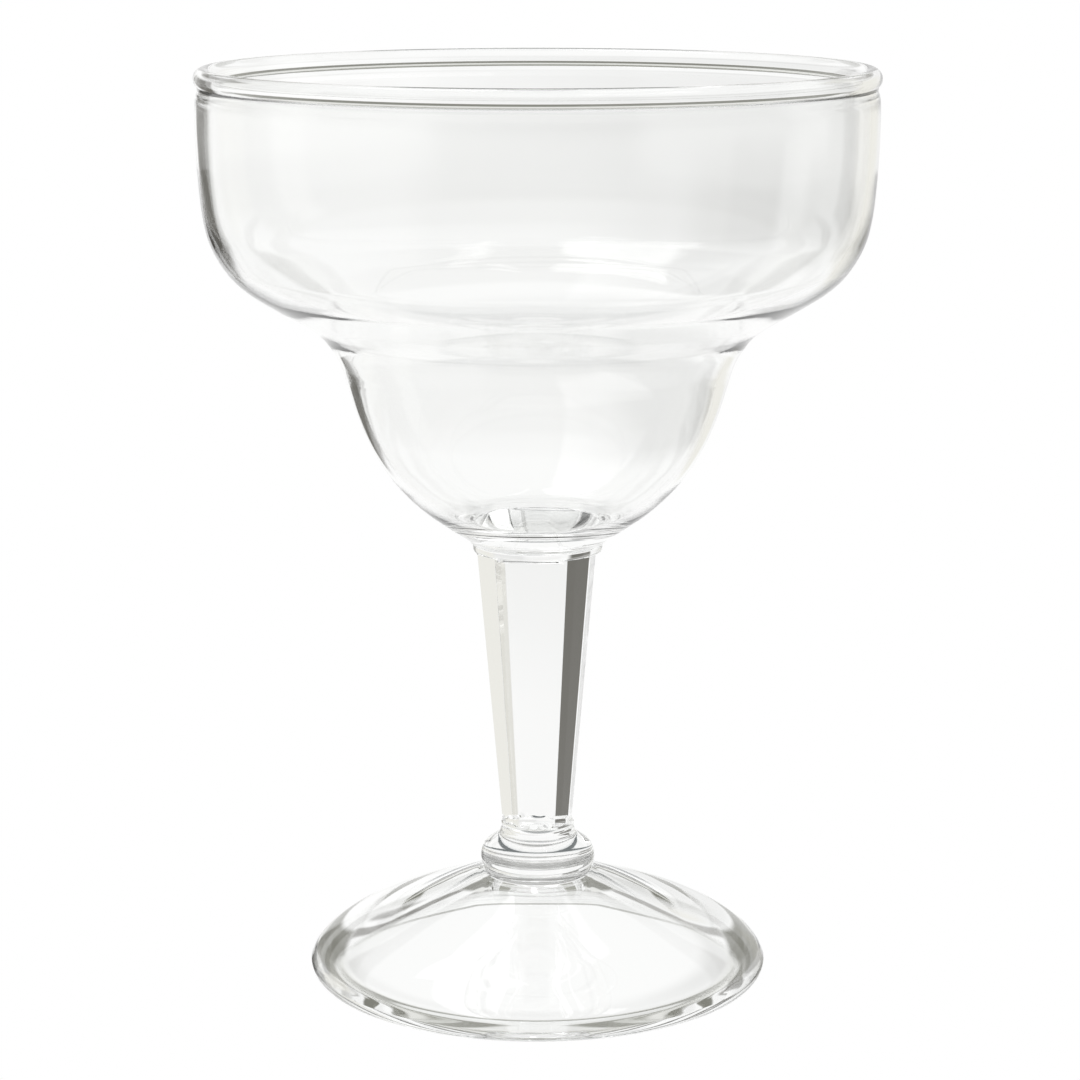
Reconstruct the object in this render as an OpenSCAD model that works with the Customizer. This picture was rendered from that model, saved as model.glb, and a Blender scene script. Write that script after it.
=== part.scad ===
// Clear plastic margarita glass: a two-step bowl, a tapered stem of square
// section with cut corners, and a domed hollow foot. Each is one moulding;
// they are welded together on round spigots.
// Millimetres. +Z is up, the origin is the centre of the foot's footprint.

/* [Bowl] */
// Radius of the widest part of the upper bowl
bowl_r = 56.8; // [54:0.1:60]
// Height of the top of the rim above the table
rim_z = 156.7; // [150:0.1:165]
// Radius of the round bead that forms the rim
bead_r = 1.7; // [1.4:0.1:2.2]
// Wall thickness of the upper bowl
wall_t = 1.6; // [1.2:0.1:2.2]
// Height of the inside floor of the bowl above the table
floor_z = 80.0; // [79.6:0.1:82]

/* [Stem] */
// Half width across the flats where the shaft meets the upper collar
shaft_top = 9.55; // [9:0.05:10.2]
// Half width across the flats where the shaft meets the lower neck
shaft_bottom = 5.55; // [5:0.05:6]
// Width of a flat as a share of the width across flats
flat_share = 0.645; // [0.55:0.005:0.7]
// How far the flats are turned about the upright axis, in degrees
shaft_turn = -6.8; // [-10:0.1:10]
// Radius of the upper collar
collar_r = 11.1; // [10.6:0.1:11.4]
// Largest radius of the round knop above the foot
knop_r = 9.85; // [9.4:0.05:10.2]

/* [Foot] */
// Outer radius of the foot
foot_r = 39.6; // [38:0.1:41]
// Height of the hub on the foot, where the stem sits
hub_z = 17.6; // [17:0.1:18.4]
// Height of the ceiling of the hollow under the foot
hollow_z = 13.2; // [12.4:0.1:13.4]
// Radius of the rounded edge of the foot
edge_r = 2.4; // [2:0.1:2.8]

/* [Joints] */
// Radius of the spigot between stem and bowl
top_spigot_r = 7.0; // [5:0.1:8]
// Height of the spigot between stem and bowl
top_spigot_h = 2.4; // [1.5:0.1:3]
// Radius of the spigot between stem and foot
foot_spigot_r = 5.5; // [4:0.1:7]
// Height of the spigot between stem and foot
foot_spigot_h = 3.0; // [2:0.1:3.4]

/* [Hidden] */
$fn = 96;

seat_z = 76.0;            // where the bowl's boss sits on the stem's collar
collar_z = 75.0;          // lower edge of the upper collar
neck_z = 26.2;            // where the shaft's flats end above the knop
run_out = 0.85;           // height over which the flats run out under the collar

// One pass of corner cutting on a row of points; the two ends stay put.
function cut(p) = let (n = len(p)) [
    p[0],
    for (i = [0 : n - 2]) each [p[i] * 0.75 + p[i + 1] * 0.25, p[i] * 0.25 + p[i + 1] * 0.75],
    p[n - 1]
];
function smooth(p, k) = k == 0 ? p : smooth(cut(p), k - 1);
// Points on an arc about c from angle a0 to a1.
function arc(c, r, a0, a1, n) = [for (i = [0 : n]) let (a = a0 + (a1 - a0) * i / n) [c[0] + r * cos(a), c[1] + r * sin(a)]];

// Outside of the upper bowl, from the groove under the rim to the step.
upper_out = smooth([
    [bowl_r - 0.4, rim_z - 3.05], [bowl_r - 0.5, rim_z - 3.5], [bowl_r - 0.3, rim_z - 4.2], [bowl_r, rim_z - 5.2],
    [bowl_r + 0.05, rim_z - 10], [bowl_r - 0.25, rim_z - 18], [bowl_r - 1.0, rim_z - 25.5],
    [bowl_r - 2.4, rim_z - 30.2], [bowl_r - 6.0, rim_z - 35.5], [bowl_r - 13, rim_z - 39.8],
    [bowl_r - 19.5, rim_z - 43.6], [35.2, 110.6], [33.4, 107.6], [32.6, 105.2]], 2);
// Outside of the lower bowl, from the step to the boss.
lower_out = smooth([
    [32.6, 105.2], [31.8, 102.4], [30.6, 98.4], [28.5, 93.2], [25.4, 88.0],
    [20.6, 82.8], [15.0, 78.8], [12.4, 77.2], [11.6, 76.4], [11.3, seat_z]], 2);
// Inside, from the rim's bead down the wall, over the step and to the floor.
inner = smooth([
    [bowl_r - 2.2, rim_z - 3.3], [bowl_r - 2.3, rim_z - 3.75], [bowl_r - 2.15, rim_z - 4.4], [bowl_r - 1.75, rim_z - 5.4],
    [bowl_r - wall_t, rim_z - 7.5], [bowl_r - wall_t, rim_z - 12.0], [bowl_r - wall_t - 0.2, rim_z - 17.9],
    [bowl_r - wall_t - 1.0, rim_z - 25.1], [bowl_r - wall_t - 2.5, rim_z - 29.5], [bowl_r - wall_t - 5.8, rim_z - 34.2],
    [bowl_r - wall_t - 12.4, rim_z - 38.1], [bowl_r - wall_t - 18.6, rim_z - 41.8], [33.5, 111.9], [31.6, 108.6],
    [30.6, 105.8], [29.9, 103.0], [28.9, 98.9], [27.1, 93.8], [24.3, 88.9],
    [20.0, 84.3], [15.8, 81.2], [13.0, floor_z + 0.2], [11.2, floor_z], [4.0, floor_z]], 2);
bead_c = [bowl_r - 3.2 + bead_r, rim_z - bead_r];

module bowl() {
    color([0.93, 0.95, 0.94, 0.35])
    difference() {
        rotate_extrude() polygon(concat(upper_out, [for (i = [1 : len(lower_out) - 1]) lower_out[i]],
            [[0, seat_z], [0, floor_z]], [for (i = [len(inner) - 1 : -1 : 0]) inner[i]],
            arc(bead_c, bead_r, 246, -50, 30)));
        translate([0, 0, seat_z - 1]) cylinder(r = top_spigot_r, h = top_spigot_h + 1);
    }
}

// Removes all that lies outside a leaning plane: the plane is d0 from the
// axis at z0 and d1 from it at z1, and faces the direction a.
module trim(a, d0, z0, d1, z1) {
    lean = atan2(d1 - d0, z1 - z0);
    rotate([0, 0, a]) translate([d0, 0, z0]) rotate([0, lean, 0]) translate([0, -30, -40]) cube([30, 60, 140]);
}

module stem() {
    cut_share = (1 + flat_share) / sqrt(2);
    color([0.94, 0.95, 0.94, 0.35]) union() {
        // the shaft: four flats and four cut corners
        difference() {
            translate([0, 0, neck_z]) cylinder(r = 15, h = collar_z - 0.1 - neck_z);
            for (k = [0 : 3]) {
                trim(shaft_turn + 90 * k, shaft_bottom, neck_z, shaft_top, collar_z);
                trim(shaft_turn + 45 + 90 * k, shaft_bottom * cut_share, neck_z, shaft_top * cut_share, collar_z);
            }
        }
        // the flats run out under the upper collar
        difference() {
            translate([0, 0, collar_z - 0.1 - run_out]) cylinder(r = collar_r - 0.1, h = run_out);
            for (k = [0 : 3]) {
                trim(shaft_turn + 90 * k, shaft_top - 0.1, collar_z - 0.1 - run_out, shaft_top - 0.1 + run_out, collar_z - 0.1);
                trim(shaft_turn + 45 + 90 * k, shaft_top * cut_share, collar_z - 0.1 - run_out, shaft_top * cut_share, collar_z - 0.1);
            }
        }
        // everything round, from the lower spigot to the upper one
        rotate_extrude() polygon(concat(
                [[0, hub_z - foot_spigot_h], [foot_spigot_r, hub_z - foot_spigot_h], [foot_spigot_r, hub_z],
                 [9.1, hub_z], [9.1, 18.9]],
                smooth([[9.3, 19.0], [knop_r, 19.4], [knop_r + 0.05, 21.2], [9.3, 22.6], [7.6, 23.8], [6.6, 24.6], [6.4, 25.4]], 2),
                [[6.4, neck_z + 0.4], [5.0, neck_z + 0.4], [5.0, collar_z - 0.1], [collar_r - 0.2, collar_z - 0.1],
                 [collar_r, collar_z + 0.2], [collar_r, seat_z],
                 [top_spigot_r, seat_z], [top_spigot_r, seat_z + top_spigot_h], [0, seat_z + top_spigot_h]]));
    }
}

// Top of the foot, from the hub down the dome towards the edge.
dome_out = smooth([[9.6, hub_z - 0.1], [11.0, 17.2], [17, 14.9], [25, 11.9], [31, 9.5], [35.6, 6.9],
    [foot_r - 0.9, 4.4], [foot_r, edge_r]], 2);
// The hollow below, from the inside of the edge up to its ceiling.
hollow = smooth([[35.6, 0.0], [34.0, 0.9], [30, 3.0], [25, 5.5], [20, 7.8], [15, 9.9], [10, 11.9], [6, hollow_z - 0.2], [2, hollow_z]], 2);

module foot() {
    color([0.93, 0.95, 0.94, 0.35])
    difference() {
        rotate_extrude() polygon(concat([[0, hollow_z], [0, hub_z], [9.3, hub_z]], dome_out,
            arc([foot_r - edge_r, edge_r], edge_r, -10, -90, 6),
            hollow));
        translate([0, 0, hub_z - foot_spigot_h]) cylinder(r = foot_spigot_r, h = foot_spigot_h + 1);
    }
}

bowl();
stem();
foot();
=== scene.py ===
"""Looks of the clear margarita glass: bowl, stem and foot, each a solid clear
moulding, welded together on round spigots. Lengths in millimetres until the
mesh is made, then metres."""

import math

import bpy
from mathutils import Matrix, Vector


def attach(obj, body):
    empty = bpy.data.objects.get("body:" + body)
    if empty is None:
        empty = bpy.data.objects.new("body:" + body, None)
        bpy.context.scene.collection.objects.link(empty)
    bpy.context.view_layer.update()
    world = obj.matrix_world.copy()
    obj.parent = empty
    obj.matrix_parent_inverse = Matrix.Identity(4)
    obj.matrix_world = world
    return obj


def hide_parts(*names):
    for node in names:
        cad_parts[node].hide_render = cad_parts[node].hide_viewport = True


MM = 0.001
PASSES = 4

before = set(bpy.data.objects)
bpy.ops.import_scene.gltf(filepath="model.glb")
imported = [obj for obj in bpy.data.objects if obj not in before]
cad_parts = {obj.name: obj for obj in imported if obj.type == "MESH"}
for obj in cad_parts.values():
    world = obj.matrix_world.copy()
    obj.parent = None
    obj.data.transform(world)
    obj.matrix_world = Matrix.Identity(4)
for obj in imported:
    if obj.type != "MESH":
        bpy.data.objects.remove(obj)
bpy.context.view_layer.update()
scene = bpy.context.scene


# ---------------------------------------------------------------- shapes

def cut(points):
    """One pass of corner cutting; the two ends stay put."""
    out = [points[0]]
    for a, b in zip(points, points[1:]):
        out.append((a[0] * 0.75 + b[0] * 0.25, a[1] * 0.75 + b[1] * 0.25))
        out.append((a[0] * 0.25 + b[0] * 0.75, a[1] * 0.25 + b[1] * 0.75))
    out.append(points[-1])
    return out


def smooth(points, passes=PASSES):
    for _ in range(passes):
        points = cut(points)
    return points


def arc(centre, r, a0, a1, n):
    out = []
    for i in range(n + 1):
        a = math.radians(a0 + (a1 - a0) * i / n)
        out.append((centre[0] + r * math.cos(a), centre[1] + r * math.sin(a)))
    return out


class Profile:
    """A closed outline in (radius, height), with a material number for the
    face that follows each point."""

    def __init__(self):
        self.points, self.slots = [], []

    def add(self, points, slot=0):
        for p in points:
            if self.points and math.dist(p, self.points[-1]) < 1e-4:
                continue
            self.points.append(p)
            self.slots.append(slot)
        return self

    def weld(self):
        """The face that follows the last point is welded to another piece."""
        self.slots[-1] = 1
        return self


def make_mesh(name, verts, faces, slots, sharp=30):
    me = bpy.data.meshes.new(name)
    me.from_pydata([(x * MM, y * MM, z * MM) for x, y, z in verts], [], faces)
    me.polygons.foreach_set("material_index", slots)
    me.polygons.foreach_set("use_smooth", [True] * len(faces))
    me.update()
    me.validate()
    me.set_sharp_from_angle(angle=math.radians(sharp))
    ob = bpy.data.objects.new(name, me)
    scene.collection.objects.link(ob)
    return ob


def join_rings(rings, slots):
    """Rings are lists of (x, y, z), all of one length, or single points. The
    first ring is joined on to the last too if both are full rings."""
    verts, start = [], []
    for ring in rings:
        start.append(len(verts))
        verts.extend(ring)
    faces, mats = [], []
    count = len(rings)
    for i in range(count):
        j = (i + 1) % count
        a, b = rings[i], rings[j]
        if len(a) == 1 and len(b) == 1:
            continue
        n = max(len(a), len(b))
        for k in range(n):
            m = (k + 1) % n
            if len(a) == 1:
                f = (start[i], start[j] + m, start[j] + k)
            elif len(b) == 1:
                f = (start[i] + k, start[i] + m, start[j])
            else:
                f = (start[i] + k, start[i] + m, start[j] + m, start[j] + k)
            faces.append(f)
            mats.append(slots[i])
    return verts, faces, mats


def lathe(name, profile, n=256):
    rings = []
    for r, z in profile.points:
        if r < 1e-6:
            rings.append([(0.0, 0.0, z)])
        else:
            rings.append([(r * math.cos(2 * math.pi * k / n), r * math.sin(2 * math.pi * k / n), z) for k in range(n)])
    verts, faces, mats = join_rings(rings, profile.slots)
    return make_mesh(name, verts, faces, mats)


# ---------------------------------------------------------------- sizes

bowl_r, rim_z, bead_r, wall_t, floor_z = 56.8, 156.7, 1.7, 1.6, 80.0
shaft_top, shaft_bottom, flat_share, shaft_turn = 9.55, 5.55, 0.645, -6.8
collar_r, knop_r = 11.1, 9.85
foot_r, hub_z, hollow_z, edge_r = 39.6, 17.6, 13.2, 2.4
top_spigot_r, top_spigot_h, foot_spigot_r, foot_spigot_h = 7.0, 2.4, 5.5, 3.0
seat_z, collar_z, neck_z = 76.0, 75.0, 26.2
EDGE = 0.14        # fillet of the shaft's long edges


# ---------------------------------------------------------------- bowl

upper_out = smooth([
    (bowl_r - 0.4, rim_z - 3.05), (bowl_r - 0.5, rim_z - 3.5), (bowl_r - 0.3, rim_z - 4.2), (bowl_r, rim_z - 5.2),
    (bowl_r + 0.05, rim_z - 10), (bowl_r - 0.25, rim_z - 18), (bowl_r - 1.0, rim_z - 25.5),
    (bowl_r - 2.4, rim_z - 30.2), (bowl_r - 6.0, rim_z - 35.5), (bowl_r - 13, rim_z - 39.8),
    (bowl_r - 19.5, rim_z - 43.6), (35.2, 110.6), (33.4, 107.6), (32.6, 105.2)])
lower_out = smooth([
    (32.6, 105.2), (31.8, 102.4), (30.6, 98.4), (28.5, 93.2), (25.4, 88.0),
    (20.6, 82.8), (15.0, 78.8), (12.4, 77.2), (11.6, 76.4), (11.3, seat_z + 0.12), (11.05, seat_z)])
inner = smooth([
    (bowl_r - 2.2, rim_z - 3.3), (bowl_r - 2.3, rim_z - 3.75), (bowl_r - 2.15, rim_z - 4.4), (bowl_r - 1.75, rim_z - 5.4),
    (bowl_r - wall_t, rim_z - 7.5), (bowl_r - wall_t, rim_z - 12.0), (bowl_r - wall_t - 0.2, rim_z - 17.9),
    (bowl_r - wall_t - 1.0, rim_z - 25.1), (bowl_r - wall_t - 2.5, rim_z - 29.5), (bowl_r - wall_t - 5.8, rim_z - 34.2),
    (bowl_r - wall_t - 12.4, rim_z - 38.1), (bowl_r - wall_t - 18.6, rim_z - 41.8), (33.5, 111.9), (31.6, 108.6),
    (30.6, 105.8), (29.9, 103.0), (28.9, 98.9), (27.1, 93.8), (24.3, 88.9),
    (20.0, 84.3), (15.8, 81.2), (13.0, floor_z + 0.2), (11.2, floor_z), (4.0, floor_z)])
bead_c = (bowl_r - 3.2 + bead_r, rim_z - bead_r)

p = Profile()
p.add([(0, floor_z)]).add(reversed(inner)).add(arc(bead_c, bead_r, 246, -50, 54))
p.add(upper_out).add(lower_out[1:]).weld()
p.add([(top_spigot_r, seat_z)], 1).add([(top_spigot_r, seat_z + top_spigot_h)], 1)
p.add([(0, seat_z + top_spigot_h)], 1)
bowl = lathe("bowl_moulding", p)


# ---------------------------------------------------------------- stem

FLAT, CHAM, TURN = 30, 8, 6


def shaft_ring(z, out_by=0.0):
    """The shaft's section at height z: four flats and four cut corners, with
    a small fillet on each of the eight edges. out_by moves it outwards."""
    turn = shaft_turn
    a = out_by + shaft_bottom + (shaft_top - shaft_bottom) * (z - neck_z) / (collar_z - neck_z)
    c = a * (1 + flat_share) / math.sqrt(2)
    wf, wc = a * flat_share, a * (1 - flat_share) / math.sqrt(2)
    t = EDGE * math.tan(math.radians(22.5))
    out = []
    for k in range(8):
        d, w, n = (a, wf, FLAT) if k % 2 == 0 else (c, wc, CHAM)
        ang = math.radians(turn + 45 * k)
        ux, uy = math.cos(ang), math.sin(ang)
        w2 = w - t
        guard = min(0.06, w2 * 0.2)
        spots = [-w2] + [-w2 + guard + (2 * w2 - 2 * guard) * i / (n - 2) for i in range(n - 1)] + [w2]
        for s in spots:
            out.append((d * ux - s * uy, d * uy + s * ux, z))
        # the fillet to the next face
        cx = (d - EDGE) * ux - w2 * uy
        cy = (d - EDGE) * uy + w2 * ux
        for i in range(1, TURN):
            b = ang + math.radians(45 * i / TURN)
            out.append((cx + EDGE * math.cos(b), cy + EDGE * math.sin(b), z))
    return out


def circle_like(ring, r, z):
    """A circle whose points lie at the same angles as the ring's."""
    out = []
    for x, y, _ in ring:
        h = math.hypot(x, y)
        out.append((r * x / h, r * y / h, z))
    return out


low, high = shaft_ring(neck_z + 1.0), shaft_ring(collar_z - 0.2)
rings, slots = [], []


def put(ring, slot=0):
    rings.append(ring)
    slots.append(slot)


round_low = smooth([(9.3, 19.0), (knop_r, 19.4), (knop_r + 0.05, 21.2), (9.3, 22.6), (7.6, 23.8), (6.6, 24.6), (6.4, 25.4)])
put([(0, 0, hub_z - foot_spigot_h)], 1)
put(circle_like(low, foot_spigot_r, hub_z - foot_spigot_h), 1)
put(circle_like(low, foot_spigot_r, hub_z), 1)
put(circle_like(low, 8.95, hub_z))
put(circle_like(low, 9.1, hub_z + 0.15))
put(circle_like(low, 9.1, 18.9))
for r, z in round_low:
    put(circle_like(low, r, z))
for r, z in [(6.15, 25.75), (6.3, 26.1), (6.3, 26.5), (6.1, 26.8)]:
    put(circle_like(low, r, z))
steps = 60
run_out = 0.85     # height over which the flats run out under the collar
for i in range(steps + 1):
    z = (neck_z + 1.0) + (collar_z - 0.1 - run_out - neck_z - 1.0) * i / steps
    put(shaft_ring(z))
for i in range(1, 11):
    b = math.radians(9 * i)
    z = collar_z - 0.1 - run_out + run_out * math.sin(b)
    plain, flared = shaft_ring(z), shaft_ring(z, run_out * (1 - math.cos(b)))
    ring = []
    for (x0, y0, _), (x1, y1, _) in zip(plain, flared):
        h0, h1 = math.hypot(x0, y0), math.hypot(x1, y1)
        h = max(h0, min(h1, collar_r - 0.1))
        ring.append((x1 * h / h1, y1 * h / h1, z))
    put(ring)
put(circle_like(high, collar_r - 0.08, collar_z - 0.06))
put(circle_like(high, collar_r, collar_z + 0.22))
put(circle_like(high, collar_r, seat_z - 0.15))
put(circle_like(high, collar_r - 0.15, seat_z), 1)
put(circle_like(high, top_spigot_r, seat_z), 1)
put(circle_like(high, top_spigot_r, seat_z + top_spigot_h), 1)
put([(0, 0, seat_z + top_spigot_h)], 1)
# rings run upwards, so the faces are turned to look outwards
verts, faces, mats = join_rings(rings, slots)
stem = make_mesh("stem_moulding", verts, faces, mats)


# ---------------------------------------------------------------- foot

dome_out = smooth([(9.6, hub_z - 0.1), (11.0, 17.2), (17, 14.9), (25, 11.9), (31, 9.5), (35.6, 6.9),
                   (foot_r - 0.9, 4.4), (foot_r, edge_r)])
hollow = smooth([(35.6, 0.0), (34.0, 0.9), (30, 3.0), (25, 5.5), (20, 7.8), (15, 9.9), (10, 11.9), (6, hollow_z - 0.2), (2, hollow_z)])
p = Profile()
p.add([(0, hollow_z)]).add(reversed(hollow)).add(reversed(arc((foot_r - edge_r, edge_r), edge_r, -10, -90, 24)))
p.add(reversed(dome_out)).add([(9.3, hub_z)]).add([(8.95, hub_z - 0.001)], 1)
p.add([(foot_spigot_r, hub_z)], 1).add([(foot_spigot_r, hub_z - foot_spigot_h)], 1)
p.add([(0, hub_z - foot_spigot_h)], 1)
foot = lathe("foot_moulding", p)

for ob in (bowl, stem, foot):
    # all outlines run so that the faces look outwards; checked by volume
    me = ob.data
    vol = 0.0
    for poly in me.polygons:
        a = me.vertices[poly.vertices[0]].co
        for i in range(1, len(poly.vertices) - 1):
            b, c = me.vertices[poly.vertices[i]].co, me.vertices[poly.vertices[i + 1]].co
            vol += a.dot(b.cross(c)) / 6
    if vol < 0:
        me.flip_normals()
    print(ob.name, "volume mm3", round(vol * 1e9, 1), "faces", len(me.polygons))


# ---------------------------------------------------------------- materials

def clear_plastic(name, tint, wave, wave_scale, rough_lo, rough_hi, seed):
    """Clear polished plastic: a lone Principled with a faint waviness of the
    moulded surface and a slightly uneven polish."""
    m = bpy.data.materials.new(name)
    m.use_nodes = True
    nt = m.node_tree
    bs = nt.nodes["Principled BSDF"]
    bs.inputs["Base Color"].default_value = (*tint, 1)
    bs.inputs["Transmission Weight"].default_value = 1.0
    bs.inputs["IOR"].default_value = 1.49
    tc = nt.nodes.new("ShaderNodeTexCoord")
    mp = nt.nodes.new("ShaderNodeMapping")
    mp.inputs["Location"].default_value = (seed, seed * 0.37, 0)
    nt.links.new(tc.outputs["Object"], mp.inputs["Vector"])
    n1 = nt.nodes.new("ShaderNodeTexNoise")
    n1.inputs["Scale"].default_value = wave_scale
    n1.inputs["Detail"].default_value = 1.5
    n1.inputs["Roughness"].default_value = 0.4
    nt.links.new(mp.outputs[0], n1.inputs["Vector"])
    bp = nt.nodes.new("ShaderNodeBump")
    bp.inputs["Strength"].default_value = 1.0
    bp.inputs["Distance"].default_value = wave
    nt.links.new(n1.outputs["Fac"], bp.inputs["Height"])
    nt.links.new(bp.outputs[0], bs.inputs["Normal"])
    n2 = nt.nodes.new("ShaderNodeTexNoise")
    n2.inputs["Scale"].default_value = 90
    n2.inputs["Detail"].default_value = 4
    nt.links.new(mp.outputs[0], n2.inputs["Vector"])
    mr = nt.nodes.new("ShaderNodeMapRange")
    mr.inputs["From Min"].default_value = 0.35
    mr.inputs["From Max"].default_value = 0.7
    mr.inputs["To Min"].default_value = rough_lo
    mr.inputs["To Max"].default_value = rough_hi
    nt.links.new(n2.outputs["Fac"], mr.inputs["Value"])
    nt.links.new(mr.outputs[0], bs.inputs["Roughness"])
    return m


def weld_material(name):
    """The welded faces between two mouldings: light goes straight on."""
    m = bpy.data.materials.new(name)
    m.use_nodes = True
    nt = m.node_tree
    nt.nodes.remove(nt.nodes["Principled BSDF"])
    tr = nt.nodes.new("ShaderNodeBsdfTransparent")
    tr.inputs["Color"].default_value = (1, 1, 1, 1)
    nt.links.new(tr.outputs[0], nt.nodes["Material Output"].inputs["Surface"])
    return m


weld = weld_material("weld_face")
bowl.data.materials.append(clear_plastic("bowl_clear", (0.985, 0.988, 0.984), 0.00004, 45, 0.0, 0.02, 3.1))
stem.data.materials.append(clear_plastic("stem_clear", (0.985, 0.988, 0.984), 0.00003, 60, 0.0, 0.02, 7.7))
foot.data.materials.append(clear_plastic("foot_clear", (0.98, 0.985, 0.98), 0.00004, 50, 0.0, 0.02, 12.4))
for ob in (bowl, stem, foot):
    ob.data.materials.append(weld)

for ob, node, slot in ((bowl, "bowl", "bowl_plastic"), (stem, "stem", "stem_plastic"), (foot, "foot", "foot_plastic")):
    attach(ob, "root")
    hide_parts(node)


# ---------------------------------------------------------------- stage

def emission(name, colour, strength):
    m = bpy.data.materials.new(name)
    m.use_nodes = True
    nt = m.node_tree
    nt.nodes.remove(nt.nodes["Principled BSDF"])
    em = nt.nodes.new("ShaderNodeEmission")
    em.inputs["Color"].default_value = (*colour, 1)
    em.inputs["Strength"].default_value = strength
    nt.links.new(em.outputs[0], nt.nodes["Material Output"].inputs["Surface"])
    return m


def panel(name, centre, width, height, facing, mat, seen=False, roll=0.0):
    """A flat card: its face looks along facing, its height runs upwards."""
    me = bpy.data.meshes.new(name)
    w, h = width / 2, height / 2
    me.from_pydata([(-w, -h, 0), (w, -h, 0), (w, h, 0), (-w, h, 0)], [], [(0, 1, 2, 3)])
    me.materials.append(mat)
    ob = bpy.data.objects.new(name, me)
    scene.collection.objects.link(ob)
    ob.location = centre
    ob.rotation_mode = "QUATERNION"
    ob.rotation_quaternion = Vector(facing).to_track_quat("Z", "Y")
    ob.visible_camera = seen
    return ob


def seen_only(ob):
    """The camera sees this directly; the glass gathers its light from the
    studio around instead."""
    ob.visible_glossy = ob.visible_transmission = ob.visible_diffuse = False
    ob.visible_volume_scatter = ob.visible_shadow = False
    return ob


white = emission("stage_white", (1, 1, 1), 1.0)
seen_only(panel("stage_floor", (0, 0, -0.0002), 12, 12, (0, 0, 1), white, seen=True))
me = bpy.data.meshes.new("stage_sweep")
sides = 64
me.from_pydata([(5.9 * math.cos(2 * math.pi * k / sides), 5.9 * math.sin(2 * math.pi * k / sides), z)
                for z in (-0.001, 4.0) for k in range(sides)], [],
               [(k, (k + 1) % sides, sides + (k + 1) % sides, sides + k) for k in range(sides)])
me.materials.append(white)
sweep = bpy.data.objects.new("stage_sweep", me)
scene.collection.objects.link(sweep)
seen_only(sweep)

# The studio: a bright table and backdrop, a darker ceiling, darker screens and a window,
# with painted shade on the table under the glass and a painted pool of light on the table
# in front and to the right. Each entry is (from, to, soft, from, to, soft, colour):
# bearings in degrees clockwise from +Y, then heights above the horizon.
BASE = (1.0, 1.0, 0.997)
STUDIO = [
    # under the glass: painted shade, the table straight below darkened in the world where the glass's own shadow falls,
    # darkest in front
    (-400, 400, 1, -100, -74, 3, (0.80, 0.81, 0.81)),
    (-60, 60, 4, -100, -59, 3, (0.14, 0.155, 0.16)),
    # backdrop, darker towards the right
    (-14, 0, 4, -5, 10, 3, (1.04, 1.04, 1.035)),
    (-14, 2, 2, -9, -5, 1.5, (0.94, 0.94, 0.935)),
    (-1, 90, 6, -5, 10, 3, (0.88, 0.88, 0.875)),
    (2, 90, 2, -11, -5, 2, (0.83, 0.83, 0.825)),
    # the edge of the room above it, and the bright ceiling
    (48, 312, 3, 10, 34, 3, (0.62, 0.62, 0.57)),
    (-400, 400, 1, 33, 100, 4, (0.90, 0.90, 0.90)),
    (-17, 17, 1.5, 12, 23, 1.5, (0.22, 0.22, 0.19)),
    (-17, 17, 1.5, 23, 33, 1.5, (0.80, 0.80, 0.77)),
    (-17, 17, 1.5, 33, 50, 2, (0.34, 0.34, 0.30)),
    (-49, -17, 1, 11, 16, 1, (0.30, 0.295, 0.28)),
    (-49, -17, 1, 25, 33, 1, (0.45, 0.445, 0.43)),
    (17, 49, 1, 11, 16, 1, (0.42, 0.415, 0.40)),
    (17, 49, 1, 25, 33, 1, (0.55, 0.545, 0.53)),
    # windows overhead
    (-50, -9, 1, 54, 78, 1, (2.6, 2.6, 2.6)),
    (16, 22, 1, 54, 78, 1, (2.2, 2.2, 2.2)),
    # the room behind the camera, the left and the right
    (138, 222, 8, -4, 28, 4, (0.33, 0.33, 0.32)),
    (138, 222, 8, -36, -2, 3, (0.62, 0.62, 0.61)),
    (-142, -52, 8, 6, 30, 4, (0.54, 0.54, 0.53)),
    (52, 142, 8, 6, 30, 4, (0.60, 0.60, 0.59)),
    (-142, -52, 8, -7, 6, 3, (0.84, 0.84, 0.83)),
    (52, 142, 8, -7, 6, 3, (0.80, 0.80, 0.79)),
    # screens
    (-37, -19, 1.5, -20, -4, 2, (0.17, 0.165, 0.15)),
    (-37, -18, 1.5, -4, 6, 2, (0.24, 0.235, 0.22)),
    (20, 50, 3, -24, 8, 2, (0.86, 0.85, 0.80)),
    (41, 50, 1.5, -22, -9, 2, (0.40, 0.39, 0.35)),
    (48, 67, 3, -30, 16, 4, (0.60, 0.60, 0.58)),
    (69, 86, 3, -34, 30, 4, (1.05, 1.05, 1.03)),
    (52, 78, 3, -19, -6, 3, (0.62, 0.62, 0.60)),
    (100, 127, 9, -24, -4, 4, (0.45, 0.44, 0.42)),
    (91, 113, 2, -24, -4, 4, (0.14, 0.135, 0.12)),
    # painted light: a bright pool of light on the table, in front and to the right
    (98, 161, 2, -70, -37, 3, (1.7, 1.7, 1.7)),
]


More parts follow.
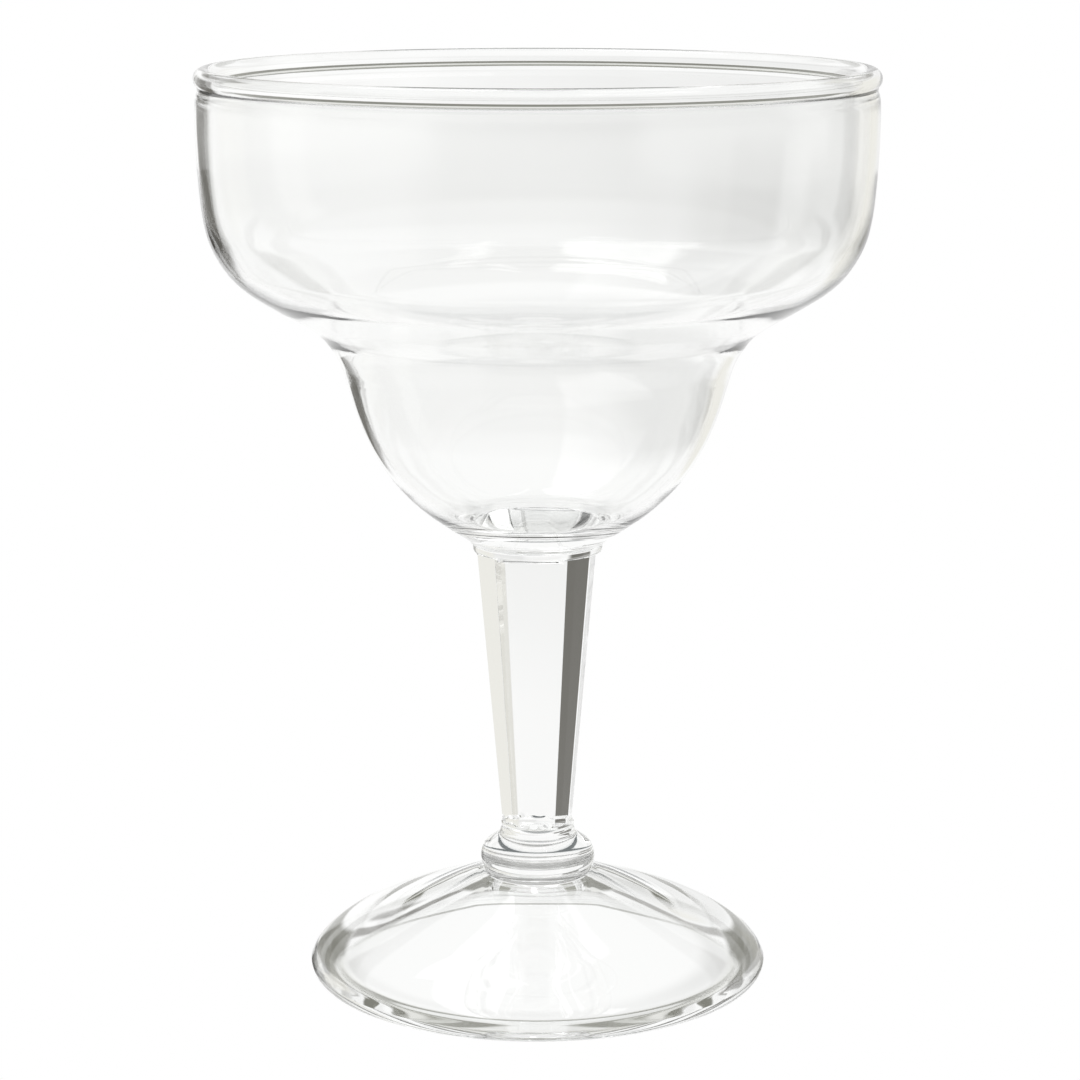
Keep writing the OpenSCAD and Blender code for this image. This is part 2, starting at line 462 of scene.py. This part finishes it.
def studio_world(entries):
    w = bpy.data.worlds.new("studio")
    scene.world = w
    w.use_nodes = True
    nt = w.node_tree
    tc = nt.nodes.new("ShaderNodeTexCoord")
    sep = nt.nodes.new("ShaderNodeSeparateXYZ")
    nt.links.new(tc.outputs["Generated"], sep.inputs[0])

    def maths(op, a, b=None):
        n = nt.nodes.new("ShaderNodeMath")
        n.operation = op
        for i, v in enumerate((a, b)):
            if v is None:
                continue
            if isinstance(v, (int, float)):
                n.inputs[i].default_value = v
            else:
                nt.links.new(v, n.inputs[i])
        return n.outputs[0]

    bearing = maths("MULTIPLY", maths("ARCTAN2", sep.outputs["X"], sep.outputs["Y"]), 180 / math.pi)
    height = maths("MULTIPLY", maths("ARCSINE", sep.outputs["Z"]), 180 / math.pi)
    wrapped = maths("ADD", bearing, maths("MULTIPLY", maths("LESS_THAN", bearing, 0.0), 360.0))

    def step(value, at, soft, up):
        n = nt.nodes.new("ShaderNodeMapRange")
        n.interpolation_type = "SMOOTHSTEP"
        n.inputs["From Min"].default_value = at - soft
        n.inputs["From Max"].default_value = at + soft
        n.inputs["To Min"].default_value = 0.0 if up else 1.0
        n.inputs["To Max"].default_value = 1.0 if up else 0.0
        nt.links.new(value, n.inputs["Value"])
        return n.outputs[0]

    colour = None
    for b0, b1, soft, h0, h1, rise, rgb in entries:
        mask = maths("MULTIPLY", step(height, h0, rise, True), step(height, h1, rise, False))
        if b1 - b0 < 360:
            turn = wrapped if b1 > 180 else bearing
            mask = maths("MULTIPLY", mask, maths("MULTIPLY", step(turn, b0, soft, True), step(turn, b1, soft, False)))
        mix = nt.nodes.new("ShaderNodeMix")
        mix.data_type = "RGBA"
        nt.links.new(mask, mix.inputs[0])
        if colour is None:
            mix.inputs[6].default_value = (*BASE, 1)
        else:
            nt.links.new(colour, mix.inputs[6])
        mix.inputs[7].default_value = (*rgb, 1)
        colour = mix.outputs[2]
    nt.links.new(colour, nt.nodes["Background"].inputs["Color"])
    nt.nodes["Background"].inputs["Strength"].default_value = 1.0
    w.cycles.sampling_method = "NONE"


studio_world(STUDIO)


# ---------------------------------------------------------------- camera

cam_data = bpy.data.cameras.new("camera")
cam = bpy.data.objects.new("camera", cam_data)
scene.collection.objects.link(cam)
scene.camera = cam
cam.location = (0, -0.5362, 0.1887)
cam.rotation_euler = (math.radians(78.17), 0, 0)
cam_data.sensor_width = 36
cam_data.lens = 106.8
cam_data.shift_x = 0.0022
cam_data.clip_start = 0.01

scene.view_settings.view_transform = "Standard"
scene.cycles.max_bounces = 24
scene.cycles.transmission_bounces = 24
scene.cycles.glossy_bounces = 12
scene.cycles.transparent_max_bounces = 24
scene.cycles.caustics_reflective = True
scene.cycles.caustics_refractive = True
